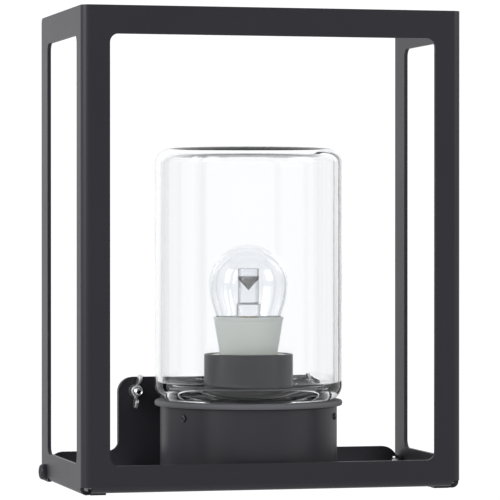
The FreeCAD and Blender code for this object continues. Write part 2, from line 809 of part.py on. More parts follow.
def lampholder_body():
    body = turned([
        (0, carrier_top_z, 0),
        (holder_r, carrier_top_z, soft_edge),
        (holder_r, holder_top_z, holder_edge_r),
        (holder_mouth_r, holder_top_z, soft_edge),
        (holder_mouth_r, holder_shelf_z, soft_edge),
        (holder_bore_r, holder_shelf_z, fine_edge),
        (holder_bore_r, holder_floor_z, 0),
        (0, holder_floor_z, 0),
    ], y=pot_y)
    for _, side in LEFT_RIGHT:
        wire = V(side * wire_hole_x, pot_y + wire_hole_y, carrier_top_z - over)
        body = body.cut(cylinder(wire_hole_r, wire, wire + UP * (holder_floor + 2 * over)))
        pilot = V(side * holder_screw_x, pot_y, carrier_top_z - over)
        body = body.cut(cylinder(m4_r, pilot, pilot + UP * (holder_screw_length + pilot_past)))
    return body


def holder_screws():
    screws = []
    for _, side in LEFT_RIGHT:
        seat = (side * holder_screw_x, pot_y, carrier_z)
        screws.append(pan_screw(m4_r, m4_head_r, m4_head_height, holder_screw_length, seat, UP))
    return screws


def lampholder_shell():
    """The threaded sleeve, drawn as a ridged tube."""
    outer = holder_bore_r - shell_gap
    valley = outer - shell_ridge
    low = holder_floor_z + shell_lift
    rise, crest_end, fall = shell_flanks
    profile = [(valley, low, 0)]
    for turn in range(shell_turns):
        start = low + shell_lead + turn * shell_pitch
        profile.append((valley, start, 0))
        profile.append((outer, start + shell_pitch * rise, 0))
        profile.append((outer, start + shell_pitch * crest_end, 0))
        profile.append((valley, start + shell_pitch * fall, 0))
    top = low + shell_lead + shell_turns * shell_pitch
    profile.append((valley, top, 0))
    inner = [(r - shell_wall, z, 0) for r, z, _ in reversed(profile)]
    return turned(profile + inner, y=pot_y)


def lampholder_spring():
    """The centre contact: a springy strip folded up from the lampholder's floor."""
    foot_start, foot_end, ramp_end, tip = (pot_y + y for y in spring_bends)
    strip = spring_thickness
    corners = [
        (foot_start, holder_floor_z, 0),
        (foot_start, holder_floor_z + strip, 0),
        (foot_end, holder_floor_z + strip, soft_edge),
        (ramp_end, spring_top_z, soft_edge),
        (tip, spring_top_z, 0),
        (tip, spring_top_z - strip, 0),
        (ramp_end + spring_fold, spring_top_z - strip, soft_edge - fine_edge),
        (foot_end + spring_fold, holder_floor_z, soft_edge - fine_edge),
    ]
    return prism("YZ", corners, -spring_half_width, spring_half_width)


def terminal_block():
    low = (-terminal_width / 2, pot_y + terminal_front, pot_floor_z)
    high = (terminal_width / 2, pot_y + terminal_front + terminal_depth, pot_floor_z + terminal_height)
    corners = rectangle(low[0], low[2], high[0], high[2], soft_edge)
    block = prism("XZ", corners, low[1], high[1])
    for pole in (-1, 0, 1):
        x = pole * terminal_pitch
        for y in (low[1], high[1]):
            hole_start = (x, y - terminal_hole_depth, wire_z)
            hole_end = (x, y + terminal_hole_depth, wire_z)
            block = block.cut(cylinder(terminal_hole_r, hole_start, hole_end))
        for share in terminal_screw_shares:
            foot = V(x, low[1] + terminal_depth * share, high[2] - terminal_well_depth)
            mouth = foot + UP * (terminal_well_depth + over)
            well = cylinder(terminal_screw_r + terminal_well_play, foot, mouth)
            block = block.cut(well)
    return block


def terminal_screws():
    screws = []
    seat = pot_floor_z + terminal_height - terminal_well_depth
    for pole in (-1, 0, 1):
        for share in terminal_screw_shares:
            at = V(pole * terminal_pitch, pot_y + terminal_front + terminal_depth * share, seat)
            screw = cylinder(terminal_screw_r, at, at + UP * terminal_screw_height)
            slot = Part.makeBox(4 * terminal_screw_r, terminal_slot_width, terminal_slot_depth + over)
            slot_z = terminal_screw_height - terminal_slot_depth
            slot.translate(at + V(-2 * terminal_screw_r, -terminal_slot_width / 2, slot_z))
            screws.append(screw.cut(slot))
    return screws


def lamp_wire(side):
    """A wire from the terminal block forward, then up into the lampholder's floor."""
    y_start = pot_y + terminal_front + terminal_hole_depth
    return tube_path([
        (side * terminal_pitch, y_start, wire_z),
        (side * terminal_pitch, y_start - wire_run, wire_z),
        (side * wire_hole_x, pot_y + wire_hole_y, wire_z + wire_rise),
        (side * wire_hole_x, pot_y + wire_hole_y, holder_floor_z - wire_end_drop),
    ], wire_r)


def earth_wire():
    y_start = pot_y + terminal_front + terminal_hole_depth
    barrel_end = pot_y + earth_y + earth_tag_r + earth_barrel_length
    tag_z = pot_floor_z + wire_r
    return tube_path([
        (0, y_start, wire_z),
        (0, y_start - earth_wire_run, wire_z),
        (0, barrel_end + earth_wire_lead, tag_z),
        (0, barrel_end, tag_z),
    ], wire_r)


def earth_stud():
    foot = V(0, pot_y + earth_y, pot_floor_z)
    return cylinder(m4_r, foot, foot + UP * earth_stud_length)


def earth_tag():
    """A ring terminal on the earth stud, with its barrel around the earth wire."""
    at = V(0, pot_y + earth_y, pot_floor_z)
    ring = cylinder(earth_tag_r, at, at + UP * earth_tag_thickness)
    neck = box((-earth_neck_half_width, at.y, at.z),
               (earth_neck_half_width, at.y + earth_tag_r + over, at.z + earth_tag_thickness))
    start = at + V(0, earth_tag_r, wire_r)
    barrel = cylinder(wire_r + earth_barrel_wall, start, start + V(0, earth_barrel_length, 0))
    below = box((-earth_tag_r, at.y - earth_tag_r, at.z - earth_tag_r),
                (earth_tag_r, start.y + earth_barrel_length + over, at.z))
    tag = ring.fuse(neck).fuse(barrel).cut(below)
    tag = tag.cut(cylinder(m4_r, at, at + UP * earth_tag_thickness))
    return tag.cut(earth_wire()).removeSplitter()


def earth_nut():
    start = V(0, pot_y + earth_y, pot_floor_z + earth_tag_thickness)
    return nut(m4_nut_flats, m4_r, start, UP, m4_nut_height)


def cable_bush():
    """A rubber bush through the pot's rear wall and the back plate, with the bore for the supply cable."""
    inner_face = -(pot_y + math.sqrt(pot_inner_r**2 - bush_flange_r**2)) + bush_flange_gap
    gap_end = -(pot_y + pot_r) - bush_play
    front = -plate_front_y
    tail = -plate_back_y - bush_tail
    spacer_r = bush_r + bush_spacer
    return turned_along([
        (cable_bore_r, tail, fine_edge),
        (bush_r, tail, fine_edge),
        (bush_r, front, 0),
        (spacer_r, front, 0),
        (spacer_r, gap_end, fine_edge),
        (bush_r, gap_end, 0),
        (bush_r, inner_face, 0),
        (bush_flange_r, inner_face, 0),
        (bush_flange_r, inner_face + bush_flange_thickness, soft_edge),
        (cable_bore_r, inner_face + bush_flange_thickness, fine_edge),
    ], (0, 0, cable_z), (0, -1, 0))


def glass_gasket():
    return turned([
        (neck_r + glass_gap, pot_top_z, 0),
        (gasket_r, pot_top_z, gasket_edge_r),
        (gasket_r, glass_seat_z, gasket_edge_r),
        (neck_r + glass_gap, glass_seat_z, fine_edge),
    ], y=pot_y)


def glass_jar():
    inner_r = glass_r - glass_wall
    neck_inner_r = neck_r - neck_wall
    return turned([
        (0, glass_top_z, 0),
        (glass_r, glass_top_z, glass_top_r),
        (glass_r, glass_seat_z, glass_shoulder_r),
        (neck_r, glass_seat_z, fine_edge),
        (neck_r, neck_bottom_z, neck_edge_r),
        (neck_inner_r, neck_bottom_z, neck_edge_r),
        (neck_inner_r, glass_seat_z + throat_height, throat_r),
        (inner_r, glass_seat_z + glass_floor + throat_slope, inner_shoulder_r),
        (inner_r, glass_top_z - glass_top_thickness, glass_inner_top_r),
        (0, glass_top_z - glass_top_thickness, 0),
    ], y=pot_y)


def clamp_axis(side):
    angle = math.radians(270 + side * clamp_angle)
    return V(math.cos(angle), math.sin(angle), 0)


def set_tip(side):
    out = clamp_axis(side)
    start = V(0, pot_y, clamp_z) + out * (neck_r + glass_gap)
    return cylinder(set_tip_r, start, start + out * set_tip_length)


def set_screw(side):
    out = clamp_axis(side)
    start = neck_r + glass_gap + set_tip_length
    end = pot_r + set_screw_proud
    screw = turned_along([
        (0, 0, 0),
        (set_screw_r, 0, fine_edge),
        (set_screw_r, end - start, fine_edge),
        (0, end - start, 0),
    ], V(0, pot_y, clamp_z) + out * start, out)
    slot = Part.makeBox(set_slot_width, 4 * set_screw_r, set_slot_depth + over)
    slot.translate(V(-set_slot_width / 2, -2 * set_screw_r, end - start - set_slot_depth))
    slot.Placement = FreeCAD.Placement(V(0, pot_y, clamp_z) + out * start,
                                       FreeCAD.Rotation(UP, out)).multiply(slot.Placement)
    return screw.cut(slot)


def lamp_cap():
    """The screw cap, a ridged brass sleeve closed at the foot around the insulator."""
    profile = [(cap_root_r - cap_foot_step, cap_z, 0), (cap_root_r, cap_z + cap_foot_height, 0)]
    rise, crest_end, fall = cap_flanks
    for turn in range(shell_turns):
        start = cap_z + cap_lead + turn * shell_pitch
        profile.append((cap_root_r, start, 0))
        profile.append((cap_crest_r, start + shell_pitch * rise, 0))
        profile.append((cap_crest_r, start + shell_pitch * crest_end, 0))
        profile.append((cap_root_r, start + shell_pitch * fall, 0))
    profile.append((cap_root_r, cone_z, 0))
    inner = [(r - cap_wall, z, 0) for r, z, _ in reversed(profile)]
    return turned(profile + inner, y=pot_y)


def lamp_insulator():
    foot_r = cap_root_r - cap_foot_step
    plug_r = foot_r - cap_wall
    return turned([
        (0, insulator_z, 0),
        (insulator_tip_r, insulator_z, fine_edge),
        (foot_r, cap_z, 0),
        (plug_r, cap_z, 0),
        (plug_r, cap_z + insulator_plug, 0),
        (0, cap_z + insulator_plug, 0),
    ], y=pot_y)


def lamp_contact():
    return turned([
        (0, contact_z, 0),
        (contact_r, contact_z, soft_edge),
        (contact_r, insulator_z, 0),
        (0, insulator_z, 0),
    ], y=pot_y)


def lamp_cone():
    """The lamp's conical housing, open at the top for the board and the globe's neck."""
    shelf_z = board_z
    shelf_r = board_r - board_shelf
    slope = (cone_top_r - cone_bottom_r) / cone_height
    shelf_outer = cone_bottom_r + slope * (shelf_z - cone_z) - cone_wall
    top_inner = globe_neck_r + globe_gap
    return turned([
        (cap_root_r - cap_wall, cone_z, 0),
        (cone_bottom_r, cone_z, fine_edge),
        (cone_top_r, cone_top_z, fine_edge),
        (top_inner, cone_top_z, fine_edge),
        (top_inner, shelf_z, 0),
        (shelf_r, shelf_z, 0),
        (shelf_r, shelf_z - board_shelf_thickness, 0),
        (shelf_outer - cone_wall, shelf_z - board_shelf_foot, 0),
        (cone_bottom_r - cone_wall, cone_z + cone_floor, 0),
        (cap_root_r - cap_wall, cone_z + cone_floor, 0),
    ], y=pot_y)


def lamp_board():
    return cylinder(board_r, (0, pot_y, board_z), (0, pot_y, board_z + board_thickness))


def lamp_leds():
    chips = []
    top = board_z + board_thickness
    for quarter in range(4):
        chip = Part.makeBox(led_size, led_size, led_height)
        chip.translate(V(-led_size / 2, -led_size / 2, 0))
        angle = math.radians(45 + 90 * quarter)
        chip.translate(V(led_circle_r * math.cos(angle), pot_y + led_circle_r * math.sin(angle), top))
        chips.append(chip)
    return chips


def lamp_light_guide():
    """A clear column over the light source, with a round cup in its top that ends in a cone."""
    foot = board_z + board_thickness + led_height
    step = cone_top_z + guide_foot_height
    top = cone_top_z + guide_height
    return turned([
        (0, foot, 0),
        (guide_foot_r, foot, 0),
        (guide_foot_r, step, fine_edge),
        (guide_r, step + guide_step, fine_edge),
        (guide_r, top, fine_edge),
        (guide_cup_r, top, fine_edge),
        (guide_cup_r, top - guide_cup_depth, 0),
        (0, top - guide_cup_depth - guide_dimple_depth, 0),
    ], y=pot_y)


def lamp_driver():
    low = cap_z + driver_lift
    return box((-driver_width / 2, pot_y - driver_thickness / 2, low),
               (driver_width / 2, pot_y + driver_thickness / 2, low + driver_height))


def globe_form(inset):
    """The globe as a solid moved inward by inset: a straight neck, a swelling side and a half ball."""
    neck = globe_neck_r - inset
    widest = globe_r - inset
    axis_low = V(0, pot_y, cone_top_z - globe_tuck)
    neck_low = V(neck, pot_y, cone_top_z - globe_tuck)
    neck_high = V(neck, pot_y, cone_top_z + globe_gap)
    belly = V(widest - globe_belly_inset, pot_y, cone_top_z + globe_equator * globe_belly_share)
    equator = V(widest, pot_y, cone_top_z + globe_equator)
    lean = widest * math.sqrt(0.5)
    brow = V(lean, pot_y, equator.z + lean)
    crown = V(0, pot_y, equator.z + widest)
    wire = Part.Wire([
        Part.LineSegment(axis_low, neck_low).toShape(),
        Part.LineSegment(neck_low, neck_high).toShape(),
        Part.Arc(neck_high, belly, equator).toBSpline().toShape(),
        Part.Arc(equator, brow, crown).toShape(),
        Part.LineSegment(crown, axis_low).toShape(),
    ])
    return Part.Face(wire).revolve(V(0, pot_y, 0), UP, 360)


def lamp_globe():
    return globe_form(0).cut(globe_form(globe_wall))


def compound(solids):
    return Part.makeCompound(solids)


parts = {
    "frame": frame(),
    "back_plate": back_plate(),
    "wall_bracket": wall_bracket(),
    "mounting_studs": compound(mounting_studs()),
    "frame_screws": compound(frame_screws()),
    "tab_nuts": compound(tab_nuts()),
    "base_pot": base_pot(),
    "shelf_screws": compound(shelf_screws()),
    "standoffs": compound(standoffs()),
    "carrier_plate": carrier_plate(),
    "carrier_screws": compound(carrier_screws()),
    "holder_collar": holder_collar(),
    "lampholder_body": lampholder_body(),
    "lampholder_shell": lampholder_shell(),
    "lampholder_spring": lampholder_spring(),
    "holder_screws": compound(holder_screws()),
    "terminal_block": terminal_block(),
    "terminal_screws": compound(terminal_screws()),
    "live_wire": lamp_wire(1),
    "neutral_wire": lamp_wire(-1),
    "earth_wire": earth_wire(),
    "earth_stud": earth_stud(),
    "earth_tag": earth_tag(),
    "earth_nut": earth_nut(),
    "cable_bush": cable_bush(),
    "glass_gasket": glass_gasket(),
    "glass_jar": glass_jar(),
    "lamp_globe": lamp_globe(),
    "lamp_cone": lamp_cone(),
    "lamp_board": lamp_board(),
    "lamp_leds": compound(lamp_leds()),
    "lamp_light_guide": lamp_light_guide(),
    "lamp_driver": lamp_driver(),
    "lamp_cap": lamp_cap(),
    "lamp_insulator": lamp_insulator(),
    "lamp_contact": lamp_contact(),
}
for label, hand in LEFT_RIGHT:
    parts["lock_washer_" + label] = lock_washer(hand)
    parts["wing_nut_" + label] = wing_nut(hand)
    parts["set_tip_" + label] = set_tip(hand)
    parts["set_screw_" + label] = set_screw(hand)

for name, shape in parts.items():
    if not shape.isValid():
        print("not valid:", name)
    shape.exportStep("parts/" + name + ".step")
print(len(parts), "parts")
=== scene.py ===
import math

import bpy
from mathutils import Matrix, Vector


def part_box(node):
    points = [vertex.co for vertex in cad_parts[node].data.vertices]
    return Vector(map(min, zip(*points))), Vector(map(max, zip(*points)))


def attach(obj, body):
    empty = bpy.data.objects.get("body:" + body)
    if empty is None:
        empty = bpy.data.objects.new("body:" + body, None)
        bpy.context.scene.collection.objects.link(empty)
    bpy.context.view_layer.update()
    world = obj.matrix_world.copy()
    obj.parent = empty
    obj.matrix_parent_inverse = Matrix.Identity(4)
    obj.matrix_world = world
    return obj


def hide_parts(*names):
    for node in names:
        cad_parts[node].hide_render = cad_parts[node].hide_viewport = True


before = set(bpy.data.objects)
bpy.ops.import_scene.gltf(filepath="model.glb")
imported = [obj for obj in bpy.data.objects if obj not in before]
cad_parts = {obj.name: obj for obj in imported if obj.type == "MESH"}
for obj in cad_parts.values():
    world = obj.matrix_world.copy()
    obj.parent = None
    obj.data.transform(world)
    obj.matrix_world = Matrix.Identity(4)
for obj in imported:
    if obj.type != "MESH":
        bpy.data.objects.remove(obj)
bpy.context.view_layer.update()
MM = 0.001


# ---- Studio -------------------------------------------------------------------------------------
# The sky is bright behind and above the lantern and dims towards the viewer and the ground, so that
# clear glass shows grey edges. Two softboxes at the sides put light on the dark paint. The pale
# floor lies well below the lantern, because the lantern hangs on a wall.

camera_data = bpy.data.cameras.new("camera")
camera_data.sensor_width = 36.0
camera_data.lens = 224.42
camera_data.clip_end = 50.0
camera = bpy.data.objects.new("camera", camera_data)
camera.location = (-0.45655, -1.86769, 0.09819)
camera.rotation_euler = (math.radians(89.63), 0.0, math.radians(-14.24))
bpy.context.scene.collection.objects.link(camera)
bpy.context.scene.camera = camera
bpy.context.scene.view_settings.view_transform = "Standard"
bpy.context.scene.cycles.max_bounces = 24
bpy.context.scene.cycles.transmission_bounces = 24

SKY_MIDDLE = (0.246, 0.969, 0.9)
SKY_COLOUR = (0.985, 0.99, 1.0, 1.0)
SKY_DIM = 0.62
SKY_BRIGHT = 1.08
world = bpy.data.worlds.new("studio")
world.use_nodes = True
bpy.context.scene.world = world
sky = world.node_tree
sky_coordinates = sky.nodes.new("ShaderNodeTexCoord")
sky_facing = sky.nodes.new("ShaderNodeVectorMath")
sky_facing.operation = "DOT_PRODUCT"
sky_facing.inputs[1].default_value = SKY_MIDDLE
sky.links.new(sky_coordinates.outputs["Generated"], sky_facing.inputs[0])
sky_ramp = sky.nodes.new("ShaderNodeMapRange")
sky_ramp.interpolation_type = "SMOOTHSTEP"
sky_ramp.inputs["From Min"].default_value = 0.65
sky_ramp.inputs["From Max"].default_value = 0.90
sky_ramp.inputs["To Min"].default_value = SKY_DIM
sky_ramp.inputs["To Max"].default_value = SKY_BRIGHT
sky.links.new(sky_facing.outputs["Value"], sky_ramp.inputs["Value"])
sky.links.new(sky_ramp.outputs["Result"], sky.nodes["Background"].inputs["Strength"])
sky.nodes["Background"].inputs["Color"].default_value = SKY_COLOUR


def softbox(name, place, aim, size, power):
    """A square lamp of soft light that points at a place."""
    data = bpy.data.lights.new(name, "AREA")
    data.shape = "SQUARE"
    data.size = size
    data.energy = power
    lamp = bpy.data.objects.new(name, data)
    lamp.location = place
    lamp.rotation_euler = (Vector(aim) - Vector(place)).to_track_quat("-Z", "Y").to_euler()
    bpy.context.scene.collection.objects.link(lamp)


softbox("softbox_left", (-1.3, -0.5, 0.6), (0.0, -0.06, 0.08), 0.9, 15.0)
softbox("softbox_right", (1.3, -0.9, 0.7), (0.0, -0.06, 0.05), 0.8, 9.0)


class Value:
    """A socket that carries a number; arithmetic on it adds Math nodes to its finish."""

    def __init__(self, finish, socket):
        self.finish = finish
        self.socket = socket

    def combine(self, operation, first, second):
        return self.finish.add("ShaderNodeMath", {"operation": operation}, {0: first, 1: second})

    def __add__(self, other):
        return self.combine("ADD", self, other)

    def __radd__(self, other):
        return self.combine("ADD", other, self)

    def __sub__(self, other):
        return self.combine("SUBTRACT", self, other)

    def __rsub__(self, other):
        return self.combine("SUBTRACT", other, self)

    def __mul__(self, other):
        return self.combine("MULTIPLY", self, other)

    def __rmul__(self, other):
        return self.combine("MULTIPLY", other, self)

    def __gt__(self, other):
        return self.combine("GREATER_THAN", self, other)


class Finish:
    """A material made of nodes around one Principled surface."""

    def __init__(self, name, constants):
        self.material = bpy.data.materials.new(name)
        self.material.use_nodes = True
        self.tree = self.material.node_tree
        self.surface = self.tree.nodes["Principled BSDF"]
        for socket, value in constants.items():
            self.set(socket, value)
        self.place = self.add("ShaderNodeTexCoord", output="Object")

    def plug(self, socket, value):
        if isinstance(value, Value):
            self.tree.links.new(value.socket, socket)
        elif isinstance(value, tuple) and len(value) == 3 and socket.type == "RGBA":
            socket.default_value = (*value, 1.0)
        else:
            socket.default_value = value

    def set(self, socket, value):
        self.plug(self.surface.inputs[socket], value)

    def add(self, kind, settings=None, values=None, output=0):
        """Adds any node: its settings first, then the values or links of its sockets."""
        node = self.tree.nodes.new(kind)
        for name, setting in (settings or {}).items():
            setattr(node, name, setting)
        for name, value in (values or {}).items():
            self.plug(node.inputs[name], value)
        return Value(self, node.outputs[output])

    def noise(self, size, detail=2.0):
        """Cloudy noise whose patches are about size metres across."""
        values = {"Vector": self.place, "Scale": 1.0 / size, "Detail": detail}
        return self.add("ShaderNodeTexNoise", None, values)

    def axis(self, letter, centre=0.0):
        """The place along one of the object's axes, counted from centre."""
        split = self.add("ShaderNodeSeparateXYZ", None, {0: self.place}, output=letter)
        return split - centre

    def clamp_range(self, value, low, high):
        """0 below low, 1 above high, smooth between."""
        values = {"Value": value, "From Min": low, "From Max": high}
        return self.add("ShaderNodeMapRange", {"interpolation_type": "SMOOTHSTEP"}, values)

    def blend(self, factor, first, second):
        values = {0: factor, 6: first, 7: second}
        return self.add("ShaderNodeMix", {"data_type": "RGBA"}, values, output=2)

    def bump(self, height, depth, strength=1.0):
        values = {"Height": height, "Distance": depth, "Strength": strength}
        self.set("Normal", self.add("ShaderNodeBump", None, values))


def paint_floor():
    chalk = Finish("pale_floor", {"Base Color": (0.8, 0.8, 0.8), "Roughness": 0.8})
    chalk.set("Base Color", chalk.blend(chalk.noise(0.25), (0.80, 0.80, 0.80), (0.83, 0.83, 0.83)))
    return chalk


FLOOR_SIZE = 5.0
FLOOR_HEIGHT = -0.42
bpy.ops.object.select_all(action="DESELECT")
bpy.ops.mesh.primitive_plane_add(size=FLOOR_SIZE, location=(0.0, 0.0, FLOOR_HEIGHT))
floor = bpy.context.object
floor.name = "floor"
floor.data.materials.append(paint_floor().material)


# ---- Frame --------------------------------------------------------------------------------------
# One steel sheet, cut and folded to a front and two sides with lips at the foot, then powder coated
# in graphite grey. The coat has a fine grain and rounds off every cut edge a little.

EDGE = 0.45 * MM
COINCIDENT = 0.0005 * MM
FLAT_ANGLE = math.radians(0.3)
SHARP_ANGLE = math.radians(35.0)


def powder_coat(name, dark, light, gloss):
    coat = Finish(name, {"Base Color": dark, "Roughness": gloss, "Specular IOR Level": 0.3})
    cloud = coat.noise(90 * MM, 3.0)
    grain = coat.noise(0.7 * MM, 2.0)
    coat.set("Base Color", coat.blend(cloud * 0.6 + grain * 0.4, dark, light))
    coat.set("Roughness", cloud * 0.10 + grain * 0.12 + (gloss - 0.11))
    coat.bump(grain + 0.5 * coat.noise(2.5 * MM), 0.035 * MM, 0.6)
    return coat


def copy_of(node, name):
    """A copy of a CAD node with its loose triangles merged and its flat faces whole."""
    bpy.ops.object.select_all(action="DESELECT")
    piece = bpy.data.objects.new(name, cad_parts[node].data.copy())
    bpy.context.scene.collection.objects.link(piece)
    bpy.context.view_layer.objects.active = piece
    piece.select_set(True)
    bpy.ops.object.mode_set(mode="EDIT")
    bpy.ops.mesh.select_all(action="SELECT")
    bpy.ops.mesh.remove_doubles(threshold=COINCIDENT)
    bpy.ops.mesh.dissolve_limited(angle_limit=FLAT_ANGLE)
    bpy.ops.object.mode_set(mode="OBJECT")
    return piece


def apply_modifier(piece, kind, **settings):
    """Adds a modifier with its settings to a piece and applies it."""
    modifier = piece.modifiers.new(kind.lower(), kind)
    for name, value in settings.items():
        setattr(modifier, name, value)
    bpy.context.view_layer.objects.active = piece
    bpy.ops.object.modifier_apply(modifier=modifier.name)


def wear(piece, finish, node, body):
    """Gives a finished piece its material, and lets it stand for its CAD node."""
    piece.data.materials.clear()
    piece.data.materials.append(finish.material)
    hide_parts(node)
    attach(piece, body)


def rounded_edges(node, name, finish, body, radius=EDGE, segments=2, smooth=30.0):
    """A CAD node's own shape with its sharp edges rounded."""
    piece = copy_of(node, name)
    apply_modifier(piece, "BEVEL", width=radius, segments=segments, limit_method="ANGLE",
                   angle_limit=SHARP_ANGLE, use_clamp_overlap=True)
    bpy.ops.object.shade_smooth_by_angle(angle=math.radians(smooth))
    apply_modifier(piece, "WEIGHTED_NORMAL", keep_sharp=True)
    wear(piece, finish, node, body)


GRAPHITE_DARK = (0.014, 0.0135, 0.018)
GRAPHITE_LIGHT = (0.019, 0.0185, 0.0245)
graphite = powder_coat("graphite_powder_coat", GRAPHITE_DARK, GRAPHITE_LIGHT, 0.42)
rounded_edges("frame", "frame_sheet", graphite, "lantern_body")


# ---- Back plate and wall bracket ----------------------------------------------------------------
# The back plate is a folded steel sheet shaped as an upside-down T, with a shelf for the pot and a
# tab for each frame screw. It hangs on the bracket, a shallow steel pan screwed to the wall.

black = powder_coat("black_powder_coat", (0.013, 0.012, 0.017), (0.019, 0.017, 0.023), 0.50)
rounded_edges("back_plate", "back_plate_sheet", black, "lantern_body")
rounded_edges("wall_bracket", "wall_bracket_pan", black, "lantern_body", radius=0.3 * MM)


# ---- Studs, lock washers and wing nuts ----------------------------------------------------------
# Two threaded studs are welded into the bracket. The back plate is held on them by a lock washer
# and a cast wing nut each, all of them bright zinc plated.

def zinc(name="zinc_plate", tint=(0.74, 0.75, 0.76), roughness=0.26):
    plate = Finish(name, {"Base Color": tint, "Metallic": 1.0, "Roughness": roughness})
    cloud = plate.noise(3.0 * MM, 3.0)
    dull = tuple(0.78 * channel for channel in tint)
    plate.set("Base Color", plate.blend(cloud, dull, tint))
    plate.set("Roughness", cloud * 0.18 + (roughness - 0.08))
    plate.bump(plate.noise(0.5 * MM, 3.0), 0.02 * MM, 0.5)
    return plate


def rounded(corners, closed=True, arc_steps=5):
    """The points of a profile; each corner (u, v, radius) with a radius becomes an arc."""
    points = []
    count = len(corners)
    for i, (u, v, radius) in enumerate(corners):
        here = Vector((u, v))
        if radius == 0 or (not closed and i in (0, count - 1)):
            points.append(here)
            continue
        before = (Vector(corners[i - 1][:2]) - here).normalized()
        after = (Vector(corners[(i + 1) % count][:2]) - here).normalized()
        half = before.angle(after) / 2
        reach = radius / math.tan(half)
        centre = here + (before + after).normalized() * (radius / math.sin(half))
        start = here + before * reach - centre
        end = here + after * reach - centre
        for step in range(arc_steps + 1):
            points.append(centre + start.lerp(end, step / arc_steps).normalized() * radius)
    return points


def draw(name, points):
    """A new piece with a line through points in the XZ plane, drawn by extruding one vertex."""
    bpy.ops.object.select_all(action="DESELECT")
    bpy.ops.mesh.primitive_plane_add(size=MM, location=(0.0, 0.0, 0.0))
    piece = bpy.context.object
    piece.name = name
    bpy.ops.object.mode_set(mode="EDIT")
    bpy.ops.mesh.merge(type="CENTER")
    bpy.ops.transform.translate(value=(points[0].x, 0.0, points[0].y))
    for here, there in zip(points, points[1:]):
        step = there - here
        bpy.ops.mesh.extrude_region_move(TRANSFORM_OT_translate={"value": (step.x, 0.0, step.y)})
    bpy.ops.mesh.select_all(action="SELECT")
    return piece


WELD_DISTANCE = 0.001 * MM


def settle(piece, foot, direction, smooth=35.0):
    """Merges, turns the faces outwards, stands the piece on its foot and fixes its place."""
    bpy.ops.mesh.select_all(action="SELECT")
    bpy.ops.mesh.remove_doubles(threshold=WELD_DISTANCE)
    bpy.ops.mesh.normals_make_consistent(inside=False)
    bpy.ops.object.mode_set(mode="OBJECT")
    piece.rotation_euler = Vector(direction).to_track_quat("Z", "Y").to_euler()
    piece.location = foot
    bpy.ops.object.transform_apply(location=True, rotation=True, scale=True)
    bpy.ops.object.shade_smooth_by_angle(angle=math.radians(smooth))
    return piece


def turned(name, corners, foot, direction=(0, 0, 1), closed=True, steps=96, arc_steps=5,
           smooth=35.0):
    """A turned piece from a profile of (radius, height, corner radius)."""
    points = rounded(corners, closed, arc_steps)
    if closed:
        points.append(points[0])
    piece = draw(name, points)
    bpy.ops.mesh.spin(steps=steps, angle=math.tau, center=(0, 0, 0), axis=(0, 0, 1))
    return settle(piece, foot, direction, smooth)


LEAD_IN = 1.53
SPARE_TURNS = 3


def threaded(name, profile, pitch, low, high, foot, direction, steps=32, capped=True):
    """A threaded bar or sleeve wound from one pitch of its profile, cut flat at both ends.

    The winding starts LEAD_IN turns below the low cut and ends above the high one.
    """
    first = low - LEAD_IN * pitch
    piece = draw(name, [Vector((radius, first + height)) for radius, height in profile])
    bpy.ops.object.mode_set(mode="OBJECT")
    turns = math.ceil((high - low) / pitch) + SPARE_TURNS
    apply_modifier(piece, "SCREW", axis="Z", angle=math.tau, screw_offset=pitch, iterations=turns,
                   steps=steps, render_steps=steps, use_merge_vertices=True,
                   merge_threshold=WELD_DISTANCE)
    bpy.ops.object.mode_set(mode="EDIT")
    for height, side in ((low, False), (high, True)):
        bpy.ops.mesh.select_all(action="SELECT")
        bpy.ops.mesh.bisect(plane_co=(0, 0, height), plane_no=(0, 0, 1), use_fill=capped,
                            clear_inner=not side, clear_outer=side)
    return settle(piece, foot, direction)


M4_PITCH = 0.7 * MM
M4_CREST = 1.97 * MM
M4_ROOT = 1.62 * MM
CREST_START = 0.3 * MM
CREST_END = 0.4 * MM
THREAD_START = 0.4 * MM
WELD_HEIGHT = 0.7 * MM
m4_profile = [(M4_ROOT, 0.0), (M4_CREST, CREST_START), (M4_CREST, CREST_END), (M4_ROOT, M4_PITCH)]
bright_zinc = zinc()
stud_low, stud_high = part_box("mounting_studs")
nut_low, nut_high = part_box("wing_nut_right")
stud_x = (nut_low.x + nut_high.x) / 2
studs = []
for side in (-1, 1):
    foot = (side * stud_x, stud_high.y, 0.0)
    studs.append(threaded("stud_thread", m4_profile, M4_PITCH, THREAD_START,
                          stud_high.y - stud_low.y, foot, (0, -1, 0)))
    weld = [(0, 0, 0), (stud_high.z, 0, 0), (stud_high.z, WELD_HEIGHT, 0.25 * MM),
            (M4_ROOT, WELD_HEIGHT, 0), (0, WELD_HEIGHT, 0)]
    studs.append(turned("stud_weld", weld, foot, (0, -1, 0), steps=48))


def join(pieces, name):
    """Makes one piece of several that are fixed to each other."""
    bpy.ops.object.select_all(action="DESELECT")
    for piece in pieces:
        piece.select_set(True)
    bpy.context.view_layer.objects.active = pieces[0]
    bpy.ops.object.join()
    pieces[0].name = name
    return pieces[0]


wear(join(studs, "threaded_studs"), bright_zinc, "mounting_studs", "lantern_body")


def cast(node, name, finish, body, grain, passes):
    """A CAD node's shape as cast: its corners filled and its edges softened."""
    piece = copy_of(node, name)
    apply_modifier(piece, "REMESH", mode="VOXEL", voxel_size=grain)
    apply_modifier(piece, "SMOOTH", factor=0.5, iterations=passes)
    for polygon in piece.data.polygons:
        polygon.use_smooth = True
    wear(piece, finish, node, body)


